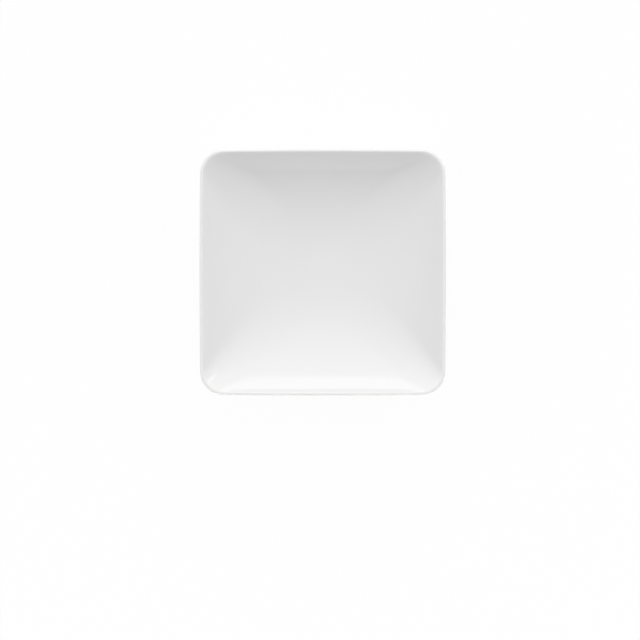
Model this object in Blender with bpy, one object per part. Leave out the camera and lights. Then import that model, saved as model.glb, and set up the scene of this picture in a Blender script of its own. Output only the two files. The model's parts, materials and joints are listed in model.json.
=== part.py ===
"""A small square porcelain dish on a square foot: the fired body and the two glazes over it.

Every level of the dish is a rounded square. A profile gives each level's half width and height, from the
foot up the flared outside, over the lip and down into the well, and the corner radius changes with the
level. Each piece is one loft through its levels, closed by a flat face at both ends.
"""

import math
from collections import namedtuple

import bmesh
import bpy
from mathutils import Matrix, Vector
from mathutils.geometry import interpolate_bezier

MM = 0.001

# Driving dimensions of the glazed dish
RIM_WIDTH = 130 * MM
HEIGHT = 30 * MM
FOOT_WIDTH = 65.5 * MM
WELL_FLOOR = 9.3 * MM
RECESS_DEPTH = 3.8 * MM
SIDE_BOW = 0.3 * MM

# The outside: steep at the foot, flattest at the shoulder, upright at the lip
GLAZE_LINE = 0.9 * MM
FOOT_ANGLE = math.radians(65)
FOOT_REACH = 7.7 * MM
SHOULDER_HALF = 48.1 * MM
SHOULDER_HEIGHT = 14.3 * MM
SHOULDER_ANGLE = math.radians(28.5)
SHOULDER_REACH_DOWN = 12.4 * MM
SHOULDER_REACH_UP = 10.9 * MM
LIP_SIDE_HEIGHT = 27.3 * MM
LIP_SIDE_REACH = 2.2 * MM

# The lip: a soft round outside, a tighter one inside
LIP_ROUND_HEIGHT = 28.1 * MM
LIP_CREST_INSET = 1.1 * MM
LIP_ROOT_INSET = 1.87 * MM
LIP_ROOT_HEIGHT = 29.64 * MM
LIP_ROOT_ANGLE = math.radians(48.5)
LIP_INNER_REACH = 0.3 * MM
ROUND_REACH = 0.5523  # share of a quarter's radius that its curve handles take

# The well: a wall that grows steeper towards the lip and runs out gently into a small flat floor
WALL_HALF = 52 * MM
WALL_HEIGHT = 20.25 * MM
WALL_ANGLE = math.radians(31.8)
WALL_REACH_TOP = 4.8 * MM
WALL_REACH_UP = 4.8 * MM
WALL_REACH_DOWN = 12 * MM
FLOOR_HALF = 10 * MM
FLOOR_REACH = 16 * MM

# Corner radii of the levels
RIM_CORNER = 12.7 * MM
SHOULDER_CORNER = 15 * MM
FOOT_CORNER = 9.5 * MM
FLOOR_CORNER = 8 * MM
WELL_ROUNDING = 8 * MM

# The foot: a bare standing ring round a shallow recess
FOOT_EDGE_ROUND = 1 * MM
STANDING_WIDTH = 4.2 * MM
RECESS_MOUTH_CHAMFER = 0.5 * MM
RECESS_GLAZE_LINE = 0.9 * MM
RECESS_DRAFT = 0.5 * MM
RECESS_FILLET = 1.5 * MM

# The glaze, and the gap that stands for its bond with the body
GLAZE = 0.3 * MM
BOND_GAP = 0.3 * MM

# Fineness of the lofts
CORNER_STEPS = 6
WALL_STEPS = 6
LIP_STEPS = 4
EDGE_STEPS = 3
OUTLINE_POINTS = 4 * (CORNER_STEPS + 2)

PORCELAIN_COLOUR = (0.80, 0.78, 0.74, 1.0)
PORCELAIN_ROUGHNESS = 0.6
GLAZE_COLOUR = (0.80, 0.80, 0.80, 1.0)
GLAZE_ROUGHNESS = 0.1
SMOOTH_ANGLE = math.radians(40)

RIM_HALF = RIM_WIDTH / 2
FOOT_HALF = FOOT_WIDTH / 2

# One level of a loft: half the width across the flats, the height and the corner radius
Level = namedtuple("Level", "half height corner")


def clear_scene():
    for item in list(bpy.data.objects):
        bpy.data.objects.remove(item, do_unlink=True)


def heading(angle):
    """The profile direction that rises at this angle from the horizontal, going outwards."""
    return Vector((math.cos(angle), math.sin(angle)))


def curve(start, start_handle, end_handle, end, steps):
    """Profile points (half width, height) on one Bezier stretch, both ends included."""
    knots = (start, start_handle, end_handle, end)
    return [p.to_2d() for p in interpolate_bezier(*(k.to_3d() for k in knots), steps + 1)]


def eased(share):
    share = min(max(share, 0.0), 1.0)
    return share * share * (3 - 2 * share)


def between(low, high, half, corner_low, corner_high):
    """A corner radius that eases from one value to another between two half widths."""
    return corner_low + (corner_high - corner_low) * eased((half - low) / (high - low))


def outside_corner(half):
    if half < SHOULDER_HALF:
        return between(FOOT_HALF, SHOULDER_HALF, half, FOOT_CORNER, SHOULDER_CORNER)
    return between(SHOULDER_HALF, RIM_HALF, half, SHOULDER_CORNER, RIM_CORNER)


def lip_corner(half):
    """The outlines round the outside of the lip are parallel to the rim's."""
    return RIM_CORNER - (RIM_HALF - half)


def inside_corner(half):
    """The well's corners, which are roundest half-way between the crest of the lip and the floor."""
    crest = RIM_HALF - LIP_CREST_INSET
    share = (half - FLOOR_HALF) / (crest - FLOOR_HALF)
    even = FLOOR_CORNER + (lip_corner(crest) - FLOOR_CORNER) * share
    return even + WELL_ROUNDING * 4 * share * (1 - share)


def outer_skin():
    """Levels of the glazed surface, from the glaze line on the foot over the lip to the floor."""
    foot = Vector((FOOT_HALF, GLAZE_LINE))
    shoulder = Vector((SHOULDER_HALF, SHOULDER_HEIGHT))
    lip_side = Vector((RIM_HALF, LIP_SIDE_HEIGHT))
    lip_round = Vector((RIM_HALF, LIP_ROUND_HEIGHT))
    crest = Vector((RIM_HALF - LIP_CREST_INSET, HEIGHT))
    root = Vector((RIM_HALF - LIP_ROOT_INSET, LIP_ROOT_HEIGHT))
    wall = Vector((WALL_HALF, WALL_HEIGHT))
    floor = Vector((FLOOR_HALF, WELL_FLOOR))
    up, out = Vector((0, 1)), Vector((1, 0))

    flare = curve(
        foot,
        foot + heading(FOOT_ANGLE) * FOOT_REACH,
        shoulder - heading(SHOULDER_ANGLE) * SHOULDER_REACH_DOWN,
        shoulder,
        WALL_STEPS,
    )
    flare += curve(
        shoulder,
        shoulder + heading(SHOULDER_ANGLE) * SHOULDER_REACH_UP,
        lip_side - up * LIP_SIDE_REACH,
        lip_side,
        WALL_STEPS,
    )[1:]
    outer_lip = curve(
        lip_round,
        lip_round + up * (HEIGHT - LIP_ROUND_HEIGHT) * ROUND_REACH,
        crest + out * LIP_CREST_INSET * ROUND_REACH,
        crest,
        LIP_STEPS,
    )
    well = curve(
        crest,
        crest - out * LIP_INNER_REACH,
        root + heading(LIP_ROOT_ANGLE) * LIP_INNER_REACH,
        root,
        LIP_STEPS,
    )[1:]
    well += curve(
        root,
        root - heading(LIP_ROOT_ANGLE) * WALL_REACH_TOP,
        wall + heading(WALL_ANGLE) * WALL_REACH_UP,
        wall,
        WALL_STEPS,
    )[1:]
    well += curve(
        wall,
        wall - heading(WALL_ANGLE) * WALL_REACH_DOWN,
        floor + out * FLOOR_REACH,
        floor,
        WALL_STEPS,
    )[1:]
    outside = [Level(p.x, p.y, outside_corner(p.x)) for p in flare]
    lip = [Level(p.x, p.y, lip_corner(p.x)) for p in outer_lip]
    inside = [Level(p.x, p.y, inside_corner(p.x)) for p in well]
    return outside + lip + inside


def recess_skin():
    """Levels of the glazed recess, from its flat ceiling down to the glaze line inside the foot."""
    mouth_half = FOOT_HALF - FOOT_EDGE_ROUND - STANDING_WIDTH
    wall_half = mouth_half - RECESS_DRAFT
    wall_top = Vector((wall_half, RECESS_DEPTH - RECESS_FILLET))
    ceiling = Vector((wall_half - RECESS_FILLET, RECESS_DEPTH))
    handle = RECESS_FILLET * ROUND_REACH
    points = curve(
        ceiling,
        ceiling + Vector((handle, 0)),
        wall_top + Vector((0, handle)),
        wall_top,
        EDGE_STEPS,
    )
    points.append(Vector((mouth_half, RECESS_GLAZE_LINE)))
    corner_inset = FOOT_HALF - FOOT_CORNER
    return [Level(p.x, p.y, p.x - corner_inset) for p in points]


def steps_at(levels):
    """Each level with the profile's steps to it and from it. At an end, the one step counts as both."""
    points = [Vector((level.half, level.height)) for level in levels]
    steps = [after - before for before, after in zip(points, points[1:])]
    return zip(levels, steps[:1] + steps, steps + steps[-1:])


def sunk(levels, depth):
    """The levels moved into the material, square to the profile, with the outlines kept parallel."""
    moved = []
    for level, arriving, leaving in steps_at(levels):
        along = (arriving * leaving.length_squared + leaving * arriving.length_squared).normalized()
        half = level.half - along.y * depth
        moved.append(Level(half, level.height + along.x * depth, level.corner + half - level.half))
    return moved


def standing_ring(recess_edge, wall_edge):
    """Levels of the bare foot between the body's recess wall and its outside."""
    standing_half = wall_edge.half - FOOT_EDGE_ROUND
    handle = FOOT_EDGE_ROUND * ROUND_REACH
    inner_half = recess_edge.half + RECESS_MOUTH_CHAMFER
    outer_round = curve(
        Vector((standing_half, 0)),
        Vector((standing_half + handle, 0)),
        Vector((wall_edge.half, FOOT_EDGE_ROUND - handle)),
        Vector((wall_edge.half, FOOT_EDGE_ROUND)),
        EDGE_STEPS,
    )[:-1]
    corner_inset = wall_edge.half - wall_edge.corner
    points = [Vector((inner_half, 0))] + outer_round
    return [Level(p.x, p.y, p.x - corner_inset) for p in points]


def outline(level):
    """The points of one level: each side's slightly bowed middle, then its corner's arc."""
    flat = level.half - SIDE_BOW
    centre = flat - level.corner
    side = [Vector((level.half, 0, level.height))]
    for step in range(CORNER_STEPS + 1):
        angle = math.pi / 2 * step / CORNER_STEPS
        arc = Vector((math.cos(angle), math.sin(angle), 0)) * level.corner
        side.append(arc + Vector((centre, centre, level.height)))
    quarters = [Matrix.Rotation(math.pi / 2 * turn, 3, "Z") for turn in range(4)]
    return [quarter @ point for quarter in quarters for point in side]


def put_at(cap, level):
    for corner, point in zip(cap.verts, outline(level)):
        corner.co = point


def loft(name, levels, material):
    """One closed solid: a flat face at the first level, extruded from level to level to the last."""
    shape = bmesh.new()
    circle = bmesh.ops.create_circle(shape, cap_ends=True, radius=RIM_HALF, segments=OUTLINE_POINTS)
    caps = [circle["verts"][0].link_faces[0]]
    put_at(caps[0], levels[0])
    for level in levels[1:]:
        made = bmesh.ops.extrude_face_region(shape, geom=[caps[-1]])["geom"]
        caps.append(next(item for item in made if isinstance(item, bmesh.types.BMFace)))
        put_at(caps[-1], level)
    bmesh.ops.delete(shape, geom=caps[1:-1], context="FACES_ONLY")
    bmesh.ops.recalc_face_normals(shape, faces=shape.faces)
    mesh = bpy.data.meshes.new(name)
    shape.to_mesh(mesh)
    shape.free()
    mesh.shade_smooth()
    mesh.set_sharp_from_angle(angle=SMOOTH_ANGLE)
    mesh.materials.append(material)
    piece = bpy.data.objects.new(name, mesh)
    bpy.context.scene.collection.objects.link(piece)
    return piece


def ceramic(name, colour, roughness):
    material = bpy.data.materials.new(name)
    material.use_nodes = True
    shader = material.node_tree.nodes["Principled BSDF"]
    shader.inputs["Base Color"].default_value = colour
    shader.inputs["Roughness"].default_value = roughness
    shader.inputs["Metallic"].default_value = 0.0
    return material


def porcelain_body():
    """The fired casting, which reaches the surface only on the standing ring."""
    recess = sunk(recess_skin(), GLAZE + BOND_GAP)
    wall = sunk(outer_skin(), GLAZE + BOND_GAP)
    levels = recess + standing_ring(recess[-1], wall[0]) + wall
    return loft("porcelain_body", levels, ceramic("bare_porcelain", PORCELAIN_COLOUR, PORCELAIN_ROUGHNESS))


def outer_glaze():
    """The layer over the well, the lip and the outside: its face to the glaze line, then its back."""
    skin = outer_skin()
    levels = skin[::-1] + sunk(skin, GLAZE)
    return loft("outer_glaze", levels, ceramic("white_glaze", GLAZE_COLOUR, GLAZE_ROUGHNESS))


def recess_glaze():
    """The layer in the foot's recess: its face to the glaze line, then its back."""
    skin = recess_skin()
    levels = skin + sunk(skin, GLAZE)[::-1]
    return loft("recess_glaze", levels, ceramic("recess_white_glaze", GLAZE_COLOUR, GLAZE_ROUGHNESS))


def main():
    clear_scene()
    porcelain_body()
    outer_glaze()
    recess_glaze()


main()
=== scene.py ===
"""A small square porcelain dish: the looks of its fired body and glazes over the frame, and its stage.

Every level of the dish is a rounded square. A profile gives each level's half width and height, from the
foot up the flared outside, over the lip and down into the well. Each piece starts as a flat rounded
square that is extruded from level to level, and is smoothed by one subdivision.
"""

import json
import math
from collections import namedtuple

import bmesh
import bpy
from mathutils import Matrix, Vector
from mathutils.geometry import interpolate_bezier


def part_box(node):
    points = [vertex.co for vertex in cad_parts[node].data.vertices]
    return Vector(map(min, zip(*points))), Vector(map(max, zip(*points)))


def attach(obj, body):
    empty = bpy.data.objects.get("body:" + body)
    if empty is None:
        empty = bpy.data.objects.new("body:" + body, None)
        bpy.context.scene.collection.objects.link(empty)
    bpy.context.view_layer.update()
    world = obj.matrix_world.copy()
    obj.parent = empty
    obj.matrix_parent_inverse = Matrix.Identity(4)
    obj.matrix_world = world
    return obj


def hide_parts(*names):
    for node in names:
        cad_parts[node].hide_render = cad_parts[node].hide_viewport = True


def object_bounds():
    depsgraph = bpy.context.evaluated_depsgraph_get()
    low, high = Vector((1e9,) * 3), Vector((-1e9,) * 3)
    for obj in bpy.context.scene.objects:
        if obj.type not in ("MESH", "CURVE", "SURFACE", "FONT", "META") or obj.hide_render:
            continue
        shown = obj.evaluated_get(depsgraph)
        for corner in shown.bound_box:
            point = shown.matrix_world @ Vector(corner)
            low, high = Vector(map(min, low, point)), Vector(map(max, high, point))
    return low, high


bl_info = {
    "name": "Square porcelain dish",
    "version": (1, 0, 0),
    "blender": (4, 5, 0),
    "location": "View3D > Sidebar > Dish",
    "description": "Models a glazed square dish over its frame and sets it on a studio stage",
    "category": "Object",
}

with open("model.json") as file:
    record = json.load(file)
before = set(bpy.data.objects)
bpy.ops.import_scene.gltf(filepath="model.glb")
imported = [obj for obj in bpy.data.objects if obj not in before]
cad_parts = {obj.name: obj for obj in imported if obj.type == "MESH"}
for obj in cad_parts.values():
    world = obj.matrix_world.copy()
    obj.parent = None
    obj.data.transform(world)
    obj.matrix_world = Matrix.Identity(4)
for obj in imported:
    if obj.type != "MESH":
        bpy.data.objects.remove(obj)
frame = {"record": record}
CAD_LOW, CAD_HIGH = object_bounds()
SLOT_COLOURS = {m["slot"]: tuple(m["base_color"]) for m in frame["record"]["materials"]}
GLAZE_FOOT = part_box("outer_glaze")[0].z

MM = 0.001
BODY = "root"

# The outside: steep at the foot, flattest at the shoulder, upright at the lip
FOOT_ANGLE = math.radians(65)
FOOT_REACH = 7.7 * MM
SHOULDER_HALF = 48.1 * MM
SHOULDER_HEIGHT = 14.3 * MM
SHOULDER_ANGLE = math.radians(28.5)
SHOULDER_REACH_DOWN = 12.4 * MM
SHOULDER_REACH_UP = 10.9 * MM
LIP_SIDE_HEIGHT = 27.3 * MM
LIP_SIDE_REACH = 2.2 * MM

# The lip: a soft round outside, a tighter one inside
LIP_ROUND_HEIGHT = 28.1 * MM
LIP_CREST_INSET = 1.1 * MM
LIP_ROOT_INSET = 1.87 * MM
LIP_ROOT_HEIGHT = 29.64 * MM
LIP_ROOT_ANGLE = math.radians(48.5)
LIP_INNER_REACH = 0.3 * MM
ROUND_REACH = 0.5523  # share of a quarter's radius that its curve handles take

# The well: a wall that grows steeper towards the lip and runs out gently into a small flat floor
WALL_HALF = 52 * MM
WALL_HEIGHT = 20.25 * MM
WALL_ANGLE = math.radians(31.8)
WALL_REACH_TOP = 4.8 * MM
WALL_REACH_UP = 4.8 * MM
WALL_REACH_DOWN = 12 * MM
FLOOR_HALF = 10 * MM
FLOOR_REACH = 16 * MM

# Corner radii of the levels
RIM_CORNER = 12.7 * MM
SHOULDER_CORNER = 15 * MM
FOOT_CORNER = 9.5 * MM
FLOOR_CORNER = 8 * MM
WELL_ROUNDING = 8 * MM

# The foot: a bare standing ring round a shallow recess
FOOT_EDGE_ROUND = 1 * MM
STANDING_WIDTH = 4.2 * MM
RECESS_MOUTH_CHAMFER = 0.5 * MM
RECESS_DRAFT = 0.5 * MM
RECESS_FILLET = 1.5 * MM
BOND_GAP = 0.02 * MM  # room between the body and the back of its glazes

# Fineness of the lofts, before the subdivision doubles it
CORNER_STEPS = 9
SIDE_STEPS = 5
WALL_STEPS = 14
LIP_STEPS = 7
EDGE_STEPS = 5
BEAD_STEPS = 4

# Where each level of a loft lies, and how deep the glaze has run there: 0 is thin and 1 is pooled
Level = namedtuple("Level", "half height corner pooling")
EVEN_POOLING = 0.5
POOLING_PER_CURVATURE = 9 * MM


class DishSizes(bpy.types.PropertyGroup):
    """The sizes of the dish that a maker would change."""

    rim_width: bpy.props.FloatProperty(
        name="Rim width",
        description="Width across the lip, side to side",
        default=CAD_HIGH.x - CAD_LOW.x,
        unit="LENGTH",
    )
    height: bpy.props.FloatProperty(
        name="Height",
        description="Height of the lip over the table",
        default=CAD_HIGH.z - CAD_LOW.z,
        unit="LENGTH",
    )
    foot_width: bpy.props.FloatProperty(
        name="Foot width",
        description="Width of the glazed foot, just above the table",
        default=65.5 * MM,
        unit="LENGTH",
    )
    well_floor: bpy.props.FloatProperty(
        name="Well floor",
        description="Height of the flat floor of the well",
        default=9.3 * MM,
        unit="LENGTH",
    )
    recess_depth: bpy.props.FloatProperty(
        name="Recess depth",
        description="Depth of the recess inside the foot",
        default=3.8 * MM,
        unit="LENGTH",
    )
    side_bow: bpy.props.FloatProperty(
        name="Side bow",
        description="How far the middle of each side stands proud of its ends",
        default=0.3 * MM,
        unit="LENGTH",
    )
    glaze: bpy.props.FloatProperty(
        name="Glaze",
        description="Thickness of the glaze",
        default=0.3 * MM,
        unit="LENGTH",
    )


class DishFinish(bpy.types.PropertyGroup):
    """The colours of the dish."""

    glaze_colour: bpy.props.FloatVectorProperty(
        name="Glaze",
        description="Colour of the glaze at its usual thickness",
        default=SLOT_COLOURS["white_glaze"],
        subtype="COLOR",
        min=0.0,
        max=1.0,
    )
    thin_colour: bpy.props.FloatVectorProperty(
        name="Thin glaze",
        description="Colour where the glaze has run thin, on the lip",
        default=(0.815, 0.812, 0.806),
        subtype="COLOR",
        min=0.0,
        max=1.0,
    )
    pooled_colour: bpy.props.FloatVectorProperty(
        name="Pooled glaze",
        description="Colour where the glaze has pooled, in the hollows",
        default=(0.784, 0.789, 0.790),
        subtype="COLOR",
        min=0.0,
        max=1.0,
    )
    glaze_roughness: bpy.props.FloatProperty(
        name="Glaze roughness",
        description="How far the gloss of the glaze is blurred",
        default=0.02,
        subtype="FACTOR",
        min=0.0,
        max=1.0,
    )
    bare_colour: bpy.props.FloatVectorProperty(
        name="Bare porcelain",
        description="Colour of the bare standing ring",
        default=SLOT_COLOURS["bare_porcelain"],
        subtype="COLOR",
        min=0.0,
        max=1.0,
    )


class DishStage(bpy.types.PropertyGroup):
    """The studio that the dish stands in."""

    lens: bpy.props.FloatProperty(
        name="Lens",
        description="Focal length of the camera",
        default=100.0,
        subtype="DISTANCE_CAMERA",
    )
    camera_place: bpy.props.FloatVectorProperty(
        name="Camera",
        description="Where the camera hangs, looking straight down",
        default=(-1.45 * MM, -25.1 * MM, 0.964),
        subtype="TRANSLATION",
    )
    overhead_level: bpy.props.FloatProperty(
        name="Overhead",
        description="Wide soft light from high behind the dish",
        default=0.55,
        min=0.0,
    )
    back_level: bpy.props.FloatProperty(
        name="Back",
        description="Soft light from behind the dish",
        default=1.97,
        min=0.0,
    )
    side_level: bpy.props.FloatProperty(
        name="Sides",
        description="Soft light from the right and from the left",
        default=1.77,
        min=0.0,
    )
    front_level: bpy.props.FloatProperty(
        name="Front corners",
        description="Low soft light from both front corners",
        default=1.22,
        min=0.0,
    )
    softbox_level: bpy.props.FloatProperty(
        name="Softbox",
        description="Brightness of the low softbox behind the dish",
        default=1.2,
        min=0.0,
    )
    card_level: bpy.props.FloatProperty(
        name="Card",
        description="Brightness of the wide reflector card in front of the dish",
        default=0.68,
        min=0.0,
    )
    lamp_level: bpy.props.FloatProperty(
        name="Lamp",
        description="Brightness of the small lamp, which glints in one corner of the well",
        default=2.0,
        min=0.0,
    )
    strip_level: bpy.props.FloatProperty(
        name="Strip",
        description="Brightness of the strip light in front, which lies lower than the dish's lip",
        default=12.0,
        min=0.0,
    )
    floor_colour: bpy.props.FloatVectorProperty(
        name="Floor",
        description="Colour of the studio floor",
        default=(0.95, 0.95, 0.95),
        subtype="COLOR",
        min=0.0,
        max=1.0,
    )


# The profile of the dish


def heading(angle):
    """The profile direction that rises at this angle from the horizontal, going outwards."""
    return Vector((math.cos(angle), math.sin(angle)))


def curve(start, start_handle, end_handle, end, steps):
    """Profile points (half width, height) on one Bezier stretch, both ends included."""
    knots = (start, start_handle, end_handle, end)
    return [p.to_2d() for p in interpolate_bezier(*(k.to_3d() for k in knots), steps + 1)]


def eased(share):
    share = min(max(share, 0.0), 1.0)
    return share * share * (3 - 2 * share)


def between(low, high, half, corner_low, corner_high):
    """A corner radius that eases from one value to another between two half widths."""
    return corner_low + (corner_high - corner_low) * eased((half - low) / (high - low))


def outside_corner(half, sizes):
    foot_half = sizes.foot_width / 2
    if half < SHOULDER_HALF:
        return between(foot_half, SHOULDER_HALF, half, FOOT_CORNER, SHOULDER_CORNER)
    return between(SHOULDER_HALF, sizes.rim_width / 2, half, SHOULDER_CORNER, RIM_CORNER)


def lip_corner(half, sizes):
    """The outlines round the lip are parallel to the rim's."""
    return RIM_CORNER - (sizes.rim_width / 2 - half)


def inside_corner(half, sizes):
    """The well's corners, which are roundest half-way between the crest of the lip and the floor."""
    crest = sizes.rim_width / 2 - LIP_CREST_INSET
    share = (half - FLOOR_HALF) / (crest - FLOOR_HALF)
    even = FLOOR_CORNER + (lip_corner(crest, sizes) - FLOOR_CORNER) * share
    return even + WELL_ROUNDING * 4 * share * (1 - share)


def outer_skin(sizes):
    """Levels of the glazed surface, from the glaze line on the foot over the lip to the floor."""
    rim_half = sizes.rim_width / 2
    foot = Vector((sizes.foot_width / 2, GLAZE_FOOT))
    shoulder = Vector((SHOULDER_HALF, SHOULDER_HEIGHT))
    lip_side = Vector((rim_half, LIP_SIDE_HEIGHT))
    lip_round = Vector((rim_half, LIP_ROUND_HEIGHT))
    crest = Vector((rim_half - LIP_CREST_INSET, sizes.height))
    root = Vector((rim_half - LIP_ROOT_INSET, LIP_ROOT_HEIGHT))
    wall = Vector((WALL_HALF, WALL_HEIGHT))
    floor = Vector((FLOOR_HALF, sizes.well_floor))
    up, out = Vector((0, 1)), Vector((1, 0))

    flare = curve(
        foot,
        foot + heading(FOOT_ANGLE) * FOOT_REACH,
        shoulder - heading(SHOULDER_ANGLE) * SHOULDER_REACH_DOWN,
        shoulder,
        WALL_STEPS,
    )
    flare += curve(
        shoulder,
        shoulder + heading(SHOULDER_ANGLE) * SHOULDER_REACH_UP,
        lip_side - up * LIP_SIDE_REACH,
        lip_side,
        WALL_STEPS,
    )[1:]
    outer_lip = curve(
        lip_round,
        lip_round + up * (sizes.height - LIP_ROUND_HEIGHT) * ROUND_REACH,
        crest + out * LIP_CREST_INSET * ROUND_REACH,
        crest,
        LIP_STEPS,
    )
    well = curve(
        crest,
        crest - out * LIP_INNER_REACH,
        root + heading(LIP_ROOT_ANGLE) * LIP_INNER_REACH,
        root,
        LIP_STEPS,
    )[1:]
    well += curve(
        root,
        root - heading(LIP_ROOT_ANGLE) * WALL_REACH_TOP,
        wall + heading(WALL_ANGLE) * WALL_REACH_UP,
        wall,
        WALL_STEPS,
    )[1:]
    well += curve(
        wall,
        wall - heading(WALL_ANGLE) * WALL_REACH_DOWN,
        floor + out * FLOOR_REACH,
        floor,
        WALL_STEPS,
    )[1:]
    outside = [Level(p.x, p.y, outside_corner(p.x, sizes), EVEN_POOLING) for p in flare]
    lip = [Level(p.x, p.y, lip_corner(p.x, sizes), EVEN_POOLING) for p in outer_lip]
    inside = [Level(p.x, p.y, inside_corner(p.x, sizes), EVEN_POOLING) for p in well]
    return pooled(outside + lip + inside)


def recess_skin(sizes):
    """Levels of the glazed recess, from its flat ceiling down to the glaze line inside the foot."""
    foot_half = sizes.foot_width / 2
    mouth_half = foot_half - FOOT_EDGE_ROUND - STANDING_WIDTH
    wall_half = mouth_half - RECESS_DRAFT
    wall_top = Vector((wall_half, sizes.recess_depth - RECESS_FILLET))
    ceiling = Vector((wall_half - RECESS_FILLET, sizes.recess_depth))
    handle = RECESS_FILLET * ROUND_REACH
    points = curve(
        ceiling,
        ceiling + Vector((handle, 0)),
        wall_top + Vector((0, handle)),
        wall_top,
        EDGE_STEPS,
    )
    mouth = Vector((mouth_half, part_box("recess_glaze")[0].z))
    points += [wall_top.lerp(mouth, (step + 1) / EDGE_STEPS) for step in range(EDGE_STEPS)]
    corner_inset = foot_half - FOOT_CORNER
    return pooled([Level(p.x, p.y, p.x - corner_inset, EVEN_POOLING) for p in points])


def steps_at(levels):
    """Each level with the profile's steps to it and from it. At an end, the one step counts as both."""
    points = [Vector((level.half, level.height)) for level in levels]
    steps = [after - before for before, after in zip(points, points[1:])]
    return zip(levels, steps[:1] + steps, steps + steps[-1:])


def pooled(levels):
    """The levels with the glaze thin over sharp bends outwards and deep in hollows."""
    made = []
    for level, arriving, leaving in steps_at(levels):
        turn = -arriving.angle_signed(leaving) / (arriving.length + leaving.length) * 2
        depth = EVEN_POOLING - turn * POOLING_PER_CURVATURE
        made.append(level._replace(pooling=min(max(depth, 0.0), 1.0)))
    return made


def sunk(levels, depth):
    """The levels moved into the material, square to the profile, with the outlines kept parallel."""
    moved = []
    for level, arriving, leaving in steps_at(levels):
        along = (arriving * leaving.length_squared + leaving * arriving.length_squared).normalized()
        half = level.half - along.y * depth
        corner = level.corner + half - level.half
        moved.append(Level(half, level.height + along.x * depth, corner, level.pooling))
    return moved


def bead(face, back):
    """Levels of the rounded edge that runs from the glaze's face to its back."""
    start, end = Vector((face.half, face.height)), Vector((back.half, back.height))
    middle, spoke = (start + end) / 2, (start - end) / 2
    made = []
    for step in range(1, BEAD_STEPS):
        turn = Matrix.Rotation(-math.pi * step / BEAD_STEPS, 2)
        point = middle + turn @ spoke
        made.append(Level(point.x, point.y, face.corner + point.x - face.half, face.pooling))
    return made


def standing_ring(recess_edge, wall_edge):
    """Levels of the bare foot between the body's recess wall and its outside."""
    standing_half = wall_edge.half - FOOT_EDGE_ROUND
    handle = FOOT_EDGE_ROUND * ROUND_REACH
    inner_half = recess_edge.half + RECESS_MOUTH_CHAMFER
    outer_round = curve(
        Vector((standing_half, 0)),
        Vector((standing_half + handle, 0)),
        Vector((wall_edge.half, FOOT_EDGE_ROUND - handle)),
        Vector((wall_edge.half, FOOT_EDGE_ROUND)),
        EDGE_STEPS,
    )[:-1]
    corner_inset = wall_edge.half - wall_edge.corner
    inner = Vector((inner_half, 0))
    face = [inner.lerp(outer_round[0], step / EDGE_STEPS) for step in range(EDGE_STEPS)]
    return [Level(p.x, p.y, p.x - corner_inset, EVEN_POOLING) for p in face + outer_round]


# Modelling


def outline(level, bow):
    """The points of one level: each slightly bowed side from its middle, then its corner's arc."""
    flat = level.half - bow
    centre = flat - level.corner
    quarter = []
    for step in range(-SIDE_STEPS + 1, SIDE_STEPS):
        share = step / SIDE_STEPS
        quarter.append(Vector((flat + bow * (1 - share * share), centre * share, level.height)))
    for step in range(CORNER_STEPS + 1):
        angle = math.pi / 2 * step / CORNER_STEPS
        arc = Vector((math.cos(angle), math.sin(angle), 0)) * level.corner
        quarter.append(arc + Vector((centre, centre, level.height)))
    turns = [Matrix.Rotation(math.pi / 2 * turn, 3, "Z") for turn in range(4)]
    return [turn @ point for turn in turns for point in quarter]


OUTLINE_POINTS = 4 * (2 * SIDE_STEPS - 1 + CORNER_STEPS + 1)


def settle(mesh, level, bow):
    """Moves the selected end face to a level."""
    shape = bmesh.from_edit_mesh(mesh)
    pooling = shape.verts.layers.float.get("pooling") or shape.verts.layers.float.new("pooling")
    end = next(face for face in shape.faces if face.select)
    for corner, point in zip(end.verts, outline(level, bow)):
        corner.co = point
        corner[pooling] = level.pooling
    bmesh.update_edit_mesh(mesh)


def lofted(name, levels, bow):
    """One closed solid: a flat face at the first level, extruded from level to level to the last."""
    bpy.ops.object.select_all(action="DESELECT")
    bpy.ops.mesh.primitive_circle_add(
        vertices=OUTLINE_POINTS, radius=levels[0].half, fill_type="NGON", location=(0, 0, 0)
    )
    piece = bpy.context.active_object
    piece.name = piece.data.name = name
    bpy.ops.object.mode_set(mode="EDIT")
    bpy.ops.mesh.select_mode(type="FACE")
    bpy.ops.mesh.select_all(action="SELECT")
    settle(piece.data, levels[0], bow)
    for level in levels[1:]:
        bpy.ops.mesh.extrude_region()
        settle(piece.data, level, bow)
    bpy.ops.mesh.select_all(action="SELECT")
    bpy.ops.mesh.normals_make_consistent(inside=False)
    bpy.ops.object.mode_set(mode="OBJECT")
    bpy.ops.object.shade_smooth()
    return piece


def smoothed(piece):
    """One applied subdivision."""
    modifier = piece.modifiers.new("Smooth", "SUBSURF")
    modifier.levels = modifier.render_levels = 1
    modifier.boundary_smooth = "PRESERVE_CORNERS"
    bpy.ops.object.modifier_apply(modifier=modifier.name)


def finished(piece, material, node):
    """The piece takes its finish, rides on the dish's body and stands for its node."""
    piece.data.materials.append(material)
    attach(piece, BODY)
    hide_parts(node)


# Finishes


class Signal:
    """A shader value that takes part in Python expressions: each operation adds its Math node."""

    def __init__(self, finish, socket):
        self.finish = finish
        self.socket = socket

    def worked(self, operation, first, second):
        return self.finish.add("ShaderNodeMath", {"operation": operation}, {0: first, 1: second})

    def __add__(self, other):
        return self.worked("ADD", self, other)

    def __radd__(self, other):
        return self.worked("ADD", other, self)

    def __sub__(self, other):
        return self.worked("SUBTRACT", self, other)

    def __rsub__(self, other):
        return self.worked("SUBTRACT", other, self)

    def __mul__(self, other):
        return self.worked("MULTIPLY", self, other)

    def __rmul__(self, other):
        return self.worked("MULTIPLY", other, self)


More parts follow.
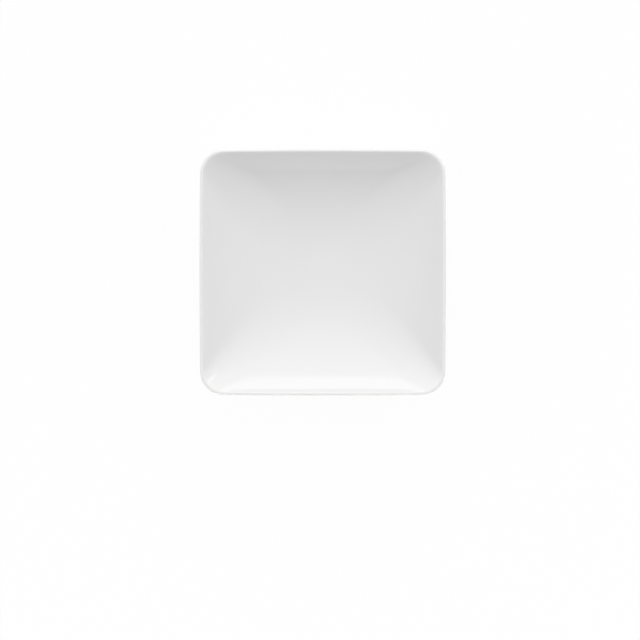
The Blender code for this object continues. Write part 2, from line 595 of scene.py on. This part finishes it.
class Finish:
    """A node tree that is written one node at a time."""

    def __init__(self, tree):
        self.tree = tree
        tree.nodes.clear()

    def add(self, kind, settings=None, sockets=None, output=0):
        """Adds a node: first its settings, then the values or links of its sockets."""
        node = self.tree.nodes.new(kind)
        for name, value in (settings or {}).items():
            setattr(node, name, value)
        for key, value in (sockets or {}).items():
            if isinstance(value, Signal):
                self.tree.links.new(value.socket, node.inputs[key])
            else:
                node.inputs[key].default_value = value
        return Signal(self, node.outputs[output] if node.outputs else None)

    def place(self):
        """Where a point is on the piece, in metres."""
        return self.add("ShaderNodeTexCoord", output="Object")

    def noise(self, size, detail=2.0):
        """Soft noise from 0 to 1, with features of about this size."""
        sockets = {"Vector": self.place(), "Scale": 1 / size, "Detail": detail}
        return self.add("ShaderNodeTexNoise", None, sockets, "Fac")

    def mixed(self, share, first, second):
        """A colour between two colours."""
        settings = {"data_type": "RGBA", "clamp_factor": True}
        return self.add("ShaderNodeMix", settings, {0: share, 6: first, 7: second}, 2)

    def bumped(self, height, depth):
        """A normal that follows a height from 0 to 1, this many metres deep."""
        return self.add("ShaderNodeBump", None, {"Height": height, "Distance": depth})


def opaque(colour):
    return (*colour, 1.0)


def new_finish(name):
    material = bpy.data.materials.new(name)
    material.use_nodes = True
    return material, Finish(material.node_tree)


def white_glaze(finish_values):
    """White glaze, thin on the lip and deeper in the hollows, with faint clouds and a slight ripple."""
    material, finish = new_finish("white_glaze")
    pooling = finish.add("ShaderNodeAttribute", {"attribute_name": "pooling"}, None, "Fac")
    usual = opaque(finish_values.glaze_colour)
    thin = finish.mixed(pooling * 2.0, opaque(finish_values.thin_colour), usual)
    colour = finish.mixed(pooling * 2.0 - 1.0, thin, opaque(finish_values.pooled_colour))
    cloud = finish.noise(28 * MM)
    colour = finish.mixed(cloud * 0.3, colour, opaque(finish_values.thin_colour))
    roughness = finish_values.glaze_roughness + finish.noise(9 * MM) * 0.02
    ripple = finish.noise(16 * MM, 0.0)
    peel = finish.noise(1.6 * MM, 1.0)
    height = ripple * 0.9 + peel * 0.1
    shader = finish.add(
        "ShaderNodeBsdfPrincipled",
        None,
        {
            "Base Color": colour,
            "Roughness": roughness,
            "IOR": 1.5,
            "Normal": finish.bumped(height, 0.008 * MM),
        },
    )
    finish.add("ShaderNodeOutputMaterial", None, {"Surface": shader})
    return material


def bare_porcelain(finish_values):
    """Unglazed porcelain, fine-grained and matt, with faint grey rubs from standing on tables."""
    material, finish = new_finish("bare_porcelain")
    grain = finish.noise(0.35 * MM, 3.0)
    patch = finish.noise(5 * MM)
    base = opaque(finish_values.bare_colour)
    darker = opaque([channel * 0.88 for channel in finish_values.bare_colour])
    colour = finish.mixed(patch * 0.5 + grain * 0.3, base, darker)
    shader = finish.add(
        "ShaderNodeBsdfPrincipled",
        None,
        {
            "Base Color": colour,
            "Roughness": 0.55 + grain * 0.2,
            "Normal": finish.bumped(grain, 0.03 * MM),
        },
    )
    finish.add("ShaderNodeOutputMaterial", None, {"Surface": shader})
    return material


def camera_ray(finish):
    return finish.add("ShaderNodeLightPath", None, None, "Is Camera Ray")


def mirrored_ray(finish):
    """1 for rays that show the stage in a gloss or through glass, and 0 for rays that light the dish."""
    glossy = finish.add("ShaderNodeLightPath", None, None, "Is Glossy Ray")
    through = finish.add("ShaderNodeLightPath", None, None, "Is Transmission Ray")
    return finish.add("ShaderNodeMath", {"operation": "MAXIMUM"}, {0: glossy, 1: through})


# Operators


class DISH_OT_fired_body(bpy.types.Operator):
    """Models the fired porcelain body, which shows on the standing ring"""

    bl_idname = "dish.fired_body"
    bl_label = "Fired body"

    def execute(self, context):
        sizes = context.scene.dish_sizes
        inset = sizes.glaze + BOND_GAP
        recess = sunk(recess_skin(sizes), inset)
        wall = sunk(outer_skin(sizes), inset)
        levels = recess + standing_ring(recess[-1], wall[0]) + wall
        piece = lofted("fired_body", levels, sizes.side_bow)
        smoothed(piece)
        finished(piece, bare_porcelain(context.scene.dish_finish), "porcelain_body")
        return {"FINISHED"}


class DISH_OT_glazed_skin(bpy.types.Operator):
    """Models the glaze over the well, the lip and the outside"""

    bl_idname = "dish.glazed_skin"
    bl_label = "Glazed skin"

    def execute(self, context):
        sizes = context.scene.dish_sizes
        skin = outer_skin(sizes)
        back = sunk(skin, sizes.glaze)
        levels = skin[::-1] + bead(skin[0], back[0]) + back
        piece = lofted("glazed_skin", levels, sizes.side_bow)
        smoothed(piece)
        finished(piece, white_glaze(context.scene.dish_finish), "outer_glaze")
        return {"FINISHED"}


class DISH_OT_glazed_recess(bpy.types.Operator):
    """Models the glaze inside the foot's recess"""

    bl_idname = "dish.glazed_recess"
    bl_label = "Glazed recess"

    def execute(self, context):
        sizes = context.scene.dish_sizes
        skin = recess_skin(sizes)
        back = sunk(skin, sizes.glaze)
        levels = skin + bead(skin[-1], back[-1]) + back[::-1]
        piece = lofted("glazed_recess", levels, sizes.side_bow)
        smoothed(piece)
        finished(piece, white_glaze(context.scene.dish_finish), "recess_glaze")
        return {"FINISHED"}


class DISH_OT_stage(bpy.types.Operator):
    """Sets the floor, the soft light and the camera over the dish"""

    bl_idname = "dish.stage"
    bl_label = "Stage"

    def execute(self, context):
        stage = context.scene.dish_stage
        self.lay_floor(stage)
        self.light_dome(context.scene, stage)
        self.hang_panel("low_softbox", Vector((0.02, 1.227, 0.2385)), 0.52, 0.463, stage.softbox_level)
        self.hang_panel("reflector_card", Vector((0, -1.213, 0.302)), 2.2, 0.54, stage.card_level)
        self.hang_panel("small_lamp", Vector((0.856, 0.645, 0.644)), 0.14, 0.22, stage.lamp_level)
        self.hang_panel("table_strip", Vector((0, -0.6, 0.014)), 1.2, 0.026, stage.strip_level)
        self.hang_camera(context.scene, stage)
        context.scene.view_settings.view_transform = "Standard"
        return {"FINISHED"}

    def lay_floor(self, stage):
        bpy.ops.object.select_all(action="DESELECT")
        bpy.ops.mesh.primitive_plane_add(size=6.0, location=(0, 0, 0))
        floor = bpy.context.active_object
        floor.name = floor.data.name = "studio_floor"
        material, finish = new_finish("studio_floor")
        lit = finish.add("ShaderNodeBsdfDiffuse", None, {"Color": opaque(stage.floor_colour)})
        white = finish.add("ShaderNodeEmission", None, {"Strength": 1.0})
        seen = camera_ray(finish) + mirrored_ray(finish)
        surface = finish.add("ShaderNodeMixShader", None, {0: seen * 0.94, 1: lit, 2: white})
        finish.add("ShaderNodeOutputMaterial", None, {"Surface": surface})
        floor.data.materials.append(material)

    def light_dome(self, scene, stage):
        """Soft light from the back, sides and front corners. Gloss shows a white back and ceiling."""
        world = bpy.data.worlds.new("studio_dome")
        world.use_nodes = True
        scene.world = world
        finish = Finish(world.node_tree)
        lighting = self.glow(finish, 0, 60, 3) * stage.overhead_level
        lighting = lighting + self.glow(finish, 0, 25, 6) * stage.back_level
        lighting = lighting + self.pair(finish, 90, 30, 6) * stage.side_level
        lighting = lighting + self.pair(finish, 135, 8, 16) * stage.front_level
        mirrored = self.glow(finish, 0, 0, 1) * 0.9 + self.glow(finish, 0, 90, 2) * 2.0
        mirrored = mirrored + self.pair(finish, 45, 20, 6) * 1.2 + self.pair(finish, 90, 0, 2) * 0.3
        white = (1, 1, 1, 1)
        light = finish.add("ShaderNodeBackground", None, {"Color": white, "Strength": lighting})
        room = finish.add("ShaderNodeBackground", None, {"Color": white, "Strength": mirrored})
        backdrop = finish.add("ShaderNodeBackground", None, {"Color": white, "Strength": 1.0})
        around = finish.add("ShaderNodeMixShader", None, {0: mirrored_ray(finish), 1: light, 2: room})
        seen = camera_ray(finish)
        surface = finish.add("ShaderNodeMixShader", None, {0: seen, 1: around, 2: backdrop})
        finish.add("ShaderNodeOutputWorld", None, {"Surface": surface})

    def glow(self, finish, azimuth, elevation, tightness):
        """A soft patch of light. Its middle is given in degrees, round from the back and up, and is 1."""
        turn, rise = math.radians(azimuth), math.radians(elevation)
        flat = Vector((math.sin(turn), math.cos(turn), 0)) * math.cos(rise)
        sockets = {
            0: finish.add("ShaderNodeTexCoord", None, None, "Generated"),
            1: flat + Vector((0, 0, math.sin(rise))),
        }
        near = finish.add("ShaderNodeVectorMath", {"operation": "DOT_PRODUCT"}, sockets, "Value")
        ahead = finish.add("ShaderNodeMath", {"operation": "MAXIMUM"}, {0: near, 1: 0.0})
        return finish.add("ShaderNodeMath", {"operation": "POWER"}, {0: ahead, 1: tightness})

    def pair(self, finish, azimuth, elevation, tightness):
        """The same patch of light on the right and on the left."""
        right = self.glow(finish, azimuth, elevation, tightness)
        return right + self.glow(finish, -azimuth, elevation, tightness)

    def hang_panel(self, name, place, width, height, level):
        """A bright panel that faces the dish and shows in its gloss, but not to the camera."""
        bpy.ops.object.select_all(action="DESELECT")
        bpy.ops.object.light_add(type="AREA", location=place)
        panel = bpy.context.active_object
        panel.name = panel.data.name = name
        panel.data.shape = "RECTANGLE"
        panel.data.size = width
        panel.data.size_y = height
        panel.data.energy = level * math.pi * width * height
        panel.rotation_euler = (-place).to_track_quat("-Z", "Y").to_euler()
        panel.visible_camera = False

    def hang_camera(self, scene, stage):
        bpy.ops.object.select_all(action="DESELECT")
        bpy.ops.object.camera_add(location=stage.camera_place, rotation=(0, 0, 0))
        camera = bpy.context.active_object
        camera.name = camera.data.name = "overhead_camera"
        camera.data.lens = stage.lens
        camera.data.sensor_width = 36.0
        scene.camera = camera


class DISH_PT_panel(bpy.types.Panel):
    """Lists the dish's sizes and colours, and the steps that make it"""

    bl_idname = "DISH_PT_panel"
    bl_label = "Dish"
    bl_space_type = "VIEW_3D"
    bl_region_type = "UI"
    bl_category = "Dish"

    def draw(self, context):
        for group in (context.scene.dish_sizes, context.scene.dish_finish, context.scene.dish_stage):
            box = self.layout.box()
            for name in group.__annotations__:
                box.prop(group, name)
        for step in STEPS:
            self.layout.operator(step.bl_idname)


GROUPS = {"dish_sizes": DishSizes, "dish_finish": DishFinish, "dish_stage": DishStage}
STEPS = (DISH_OT_fired_body, DISH_OT_glazed_skin, DISH_OT_glazed_recess, DISH_OT_stage)


def register():
    for name, group in GROUPS.items():
        bpy.utils.register_class(group)
        setattr(bpy.types.Scene, name, bpy.props.PointerProperty(type=group))
    for step in STEPS:
        bpy.utils.register_class(step)
    bpy.utils.register_class(DISH_PT_panel)


def unregister():
    bpy.utils.unregister_class(DISH_PT_panel)
    for step in reversed(STEPS):
        bpy.utils.unregister_class(step)
    for name, group in reversed(GROUPS.items()):
        delattr(bpy.types.Scene, name)
        bpy.utils.unregister_class(group)


def main():
    register()
    bpy.ops.dish.fired_body()
    bpy.ops.dish.glazed_skin()
    bpy.ops.dish.glazed_recess()
    bpy.ops.dish.stage()


if __name__ == "__main__":
    main()
